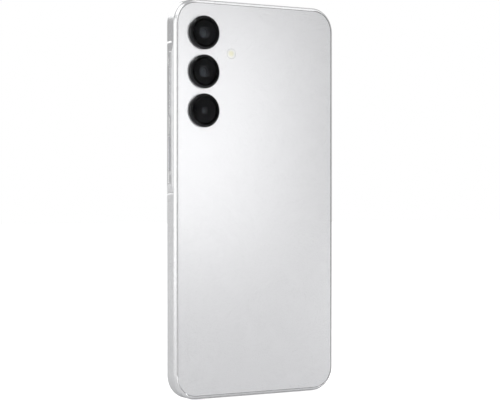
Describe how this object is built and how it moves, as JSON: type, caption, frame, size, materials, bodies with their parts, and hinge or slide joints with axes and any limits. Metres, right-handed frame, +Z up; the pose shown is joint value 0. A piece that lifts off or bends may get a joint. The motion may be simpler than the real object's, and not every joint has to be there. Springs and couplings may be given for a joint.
{
  "type": "smartphone",
  "caption": "Slim bar-shaped smartphone with a flat satin silver back, round black camera rings in a column, a flash beside them, and side keys on a raised pad.",
  "frame": {"origin": "middle of the bottom edge, at mid thickness, on the charging port's centre line", "axes": "+Z up along the body from the port to the top edge; -Y out of the screen; +Y out of the back cover; +X to the side with the keys"},
  "size_m": [0.0788, 0.0094, 0.1644],
  "materials": {
    "side_paint": "satin metallic silver paint on polymer",
    "cover_paint": "satin pale silver with a fine pearl flake",
    "ring_black": "glossy black",
    "lens_glass": "smoked clear glass with a black printed border",
    "flash_lens": "translucent with fine rings",
    "screen_glass": "polished",
    "display_layers": "dark, switched off",
    "adhesive": "matt foam tape",
    "copper_foil": "thin foil",
    "graphite": "soft grey sheet",
    "plate_metal": "die-cast and anodised",
    "sheet_steel": "nickel-plated pressed sheet",
    "heavy_metal": "sintered tungsten alloy",
    "mesh_metal": "woven mesh",
    "board_green": "solder mask",
    "black_polymer": "fine matt",
    "white_polymer": "fine matt",
    "ribbon_film": "smooth amber film",
    "battery_wrap": "black wrapped pouch",
    "black_rubber": "matt",
    "sensor_gloss": "hard coat",
    "led_yellow": "phosphor gel"
  },
  "bodies": {
    "phone_body": {"side_frame": "side_paint", "back_cover": "cover_paint", "upper_camera_ring": "ring_black", "middle_camera_ring": "ring_black", "lower_camera_ring": "ring_black", "upper_lens_window": "lens_glass", "middle_lens_window": "lens_glass", "lower_lens_window": "lens_glass", "flash_window": "flash_lens", "cover_glass": "screen_glass", "display_panel": "display_layers", "back_cover_adhesive": "adhesive", "display_adhesive": "adhesive", "battery_tape": "adhesive", "display_backing": "copper_foil", "graphite_sheet": "graphite", "mid_plate": "plate_metal", "processor_shield": "sheet_steel", "radio_shield": "sheet_steel", "key_bracket": "sheet_steel", "key_domes": "sheet_steel", "sim_socket": "sheet_steel", "sim_lever_rivet": "sheet_steel", "usb_shell": "sheet_steel", "vibration_can": "sheet_steel", "bottom_microphone": "sheet_steel", "top_microphone": "sheet_steel", "screws": "sheet_steel", "earpiece_mesh": "mesh_metal", "speaker_mesh": "mesh_metal", "main_board": "board_green", "sub_board": "board_green", "board_cover": "black_polymer", "board_connectors": "black_polymer", "loudspeaker": "black_polymer", "earpiece_speaker": "black_polymer", "usb_tongue": "black_polymer", "upper_camera": "black_polymer", "middle_camera_housing": "black_polymer", "lower_camera": "black_polymer", "front_camera": "black_polymer", "main_flex": "ribbon_film", "display_flex": "ribbon_film", "side_key_flex": "ribbon_film", "battery_flex": "ribbon_film", "nfc_antenna": "ribbon_film", "battery": "battery_wrap", "usb_gasket": "black_rubber", "coax_cable": "black_rubber", "flash_led": "led_yellow"},
    "volume_key": {"volume_key": "side_paint"},
    "power_key": {"power_key": "side_paint", "fingerprint_sensor": "sensor_gloss"},
    "sim_eject_rod": {"sim_eject_rod": "sheet_steel"},
    "sim_eject_lever": {"sim_eject_lever": "sheet_steel"},
    "sim_eject_slide": {"sim_eject_slide": "white_polymer"},
    "sim_tray": {"sim_tray": "side_paint", "sim_tray_seal": "black_rubber"},
    "vibration_rotor": {"vibration_weight": "heavy_metal"},
    "focus_barrel": {"middle_camera_barrel": "black_polymer"}
  },
  "joints": [
    {"name": "volume_rock", "type": "hinge", "parent": "phone_body", "child": "volume_key", "pos_m": [0.0379, 0, 0.12645], "axis": [0, 1, 0], "range_deg": [-1.5, 1.5], "stiffness_Nm_per_rad": 0.5},
    {"name": "power_press", "type": "slide", "parent": "phone_body", "child": "power_key", "axis": [-1, 0, 0], "range_m": [0, 0.0003], "stiffness_N_per_m": 1500},
    {"name": "eject_rod_push", "type": "slide", "parent": "phone_body", "child": "sim_eject_rod", "axis": [1, 0, 0], "range_m": [0, 0.002]},
    {"name": "eject_lever_turn", "type": "hinge", "parent": "phone_body", "child": "sim_eject_lever", "pos_m": [-0.01375, 0, 0.1302], "axis": [0, -1, 0], "range_deg": [0, 26.4]},
    {"name": "eject_slide_move", "type": "slide", "parent": "phone_body", "child": "sim_eject_slide", "axis": [-1, 0, 0], "range_m": [0, 0.002]},
    {"name": "tray_pull", "type": "slide", "parent": "sim_eject_slide", "child": "sim_tray", "axis": [-1, 0, 0], "range_m": [0, 0.019]},
    {"name": "rotor_spin", "type": "hinge", "parent": "phone_body", "child": "vibration_rotor", "pos_m": [-0.025, 0.00063, 0.015], "axis": [1, 0, 0], "continuous": true},
    {"name": "focus_slide", "type": "slide", "parent": "phone_body", "child": "focus_barrel", "axis": [0, 1, 0], "range_m": [0, 0.0003], "stiffness_N_per_m": 100}
  ],
  "couplings": [
    {"joint": "eject_lever_turn", "follows": "eject_rod_push", "rad_per_m": 229.3},
    {"joint": "eject_slide_move", "follows": "eject_rod_push", "ratio": 1}
  ]
}
